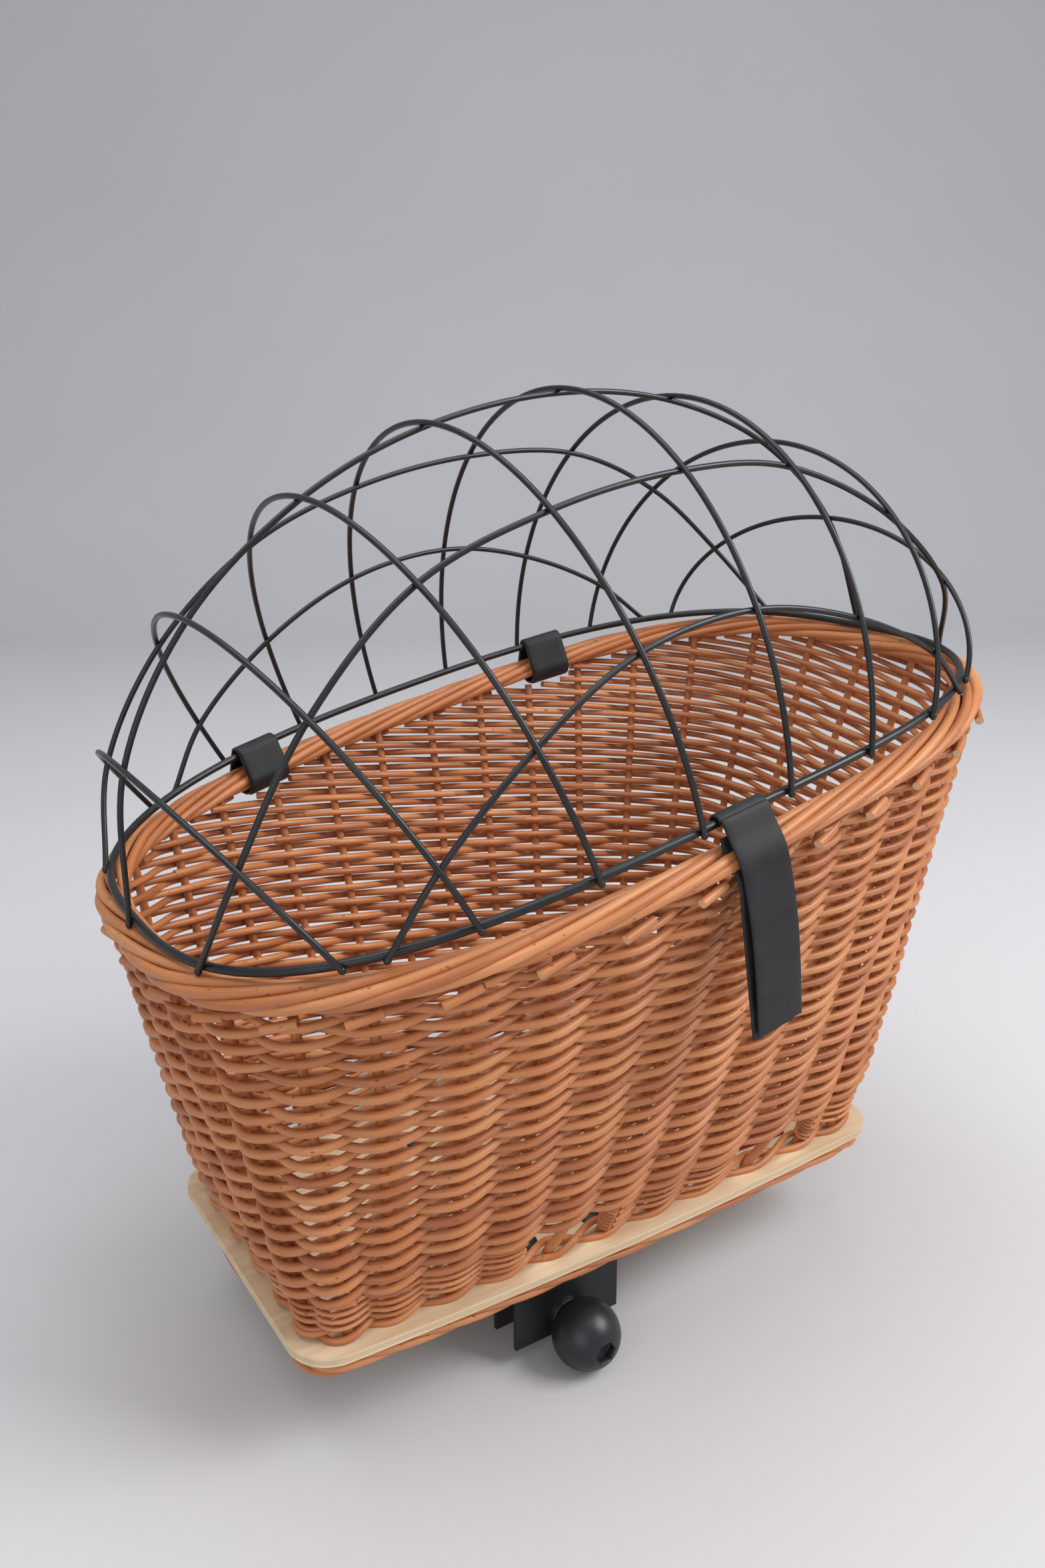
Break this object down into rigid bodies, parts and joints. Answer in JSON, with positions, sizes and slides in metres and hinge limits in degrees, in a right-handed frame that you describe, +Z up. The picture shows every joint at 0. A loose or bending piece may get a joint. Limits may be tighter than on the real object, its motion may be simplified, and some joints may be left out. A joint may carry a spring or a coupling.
{
  "type": "dog bicycle basket",
  "caption": "Willow dog basket with a sloping rim, a hinged welded-wire dome, leather straps and a screw clamp that grips a bicycle's rear rack.",
  "frame": {"origin": "on the ground under the middle of the whole, standing on the ball knob and the fixed jaw as it does on a table", "axes": "+Z up; +X along the basket towards its high end; -Y the side with the closing strap and the clamp knob"},
  "size_m": [0.581, 0.4062, 0.603],
  "materials": {
    "willow": "buff peeled willow rods, satin",
    "plywood": "pale three-ply birch, raw edge",
    "black_wire": "satin black lacquer on welded steel wire",
    "black_sheet": "satin black lacquer on folded steel",
    "steel": "zinc plated",
    "black_leather": "smooth black strap leather, raw cut edges",
    "black_plastic": "matt black moulded plastic",
    "crimson_webbing": "ribbed woven webbing"
  },
  "bodies": {
    "body": {"base_board": "plywood", "foot_border": "willow", "lower_waling": "willow", "woven_wall": "willow", "top_border": "willow", "window_stake_left": "willow", "window_stake_right": "willow", "hinge_strap_left": "black_leather", "hinge_strap_right": "black_leather", "clamp_bracket": "black_sheet", "clamp_bolt_1": "black_sheet", "clamp_bolt_2": "black_sheet", "clamp_bolt_3": "black_sheet", "clamp_bolt_4": "black_sheet", "clamp_nut_1": "steel", "clamp_nut_2": "steel", "clamp_nut_3": "steel", "clamp_nut_4": "steel", "leash_webbing": "crimson_webbing", "leash_screw": "steel"},
    "knob": {"ball_knob": "black_plastic", "clamp_spindle": "steel", "knob_washer": "steel", "spindle_collar": "steel"},
    "jaw": {"moving_jaw": "black_sheet", "jaw_nut": "steel"},
    "lid": {"lid_ring": "black_wire", "hoop_1": "black_wire", "hoop_2": "black_wire", "hoop_3": "black_wire", "hoop_4": "black_wire", "hoop_5": "black_wire", "hoop_6": "black_wire", "hoop_7": "black_wire", "hoop_8": "black_wire", "long_wire_back_low": "black_wire", "long_wire_back_high": "black_wire", "long_wire_ridge": "black_wire", "long_wire_front_high": "black_wire", "long_wire_front_low": "black_wire"},
    "strap": {"closing_strap": "black_leather"}
  },
  "joints": [
    {"name": "lid_hinge", "type": "hinge", "parent": "body", "child": "lid", "pos_m": [-0.13964, 0.18362, 0.36003], "axis": [-0.9807, -0.0141, -0.1952], "range_deg": [0, 105]},
    {"name": "strap_swing", "type": "hinge", "parent": "lid", "child": "strap", "pos_m": [-0.00803, -0.18145, 0.38523], "axis": [-0.9813, 0, -0.1925], "range_deg": [0, 100]},
    {"name": "knob_turn", "type": "hinge", "parent": "body", "child": "knob", "pos_m": [-0.0541, -0.12, 0.0225], "axis": [0, 1, 0], "range_deg": [0, 4500]},
    {"name": "jaw_slide", "type": "slide", "parent": "body", "child": "jaw", "axis": [0, 1, 0], "range_m": [0, 0.025]}
  ],
  "couplings": [
    {"joint": "jaw_slide", "follows": "knob_turn", "m_per_rad": 0.00031831}
  ]
}
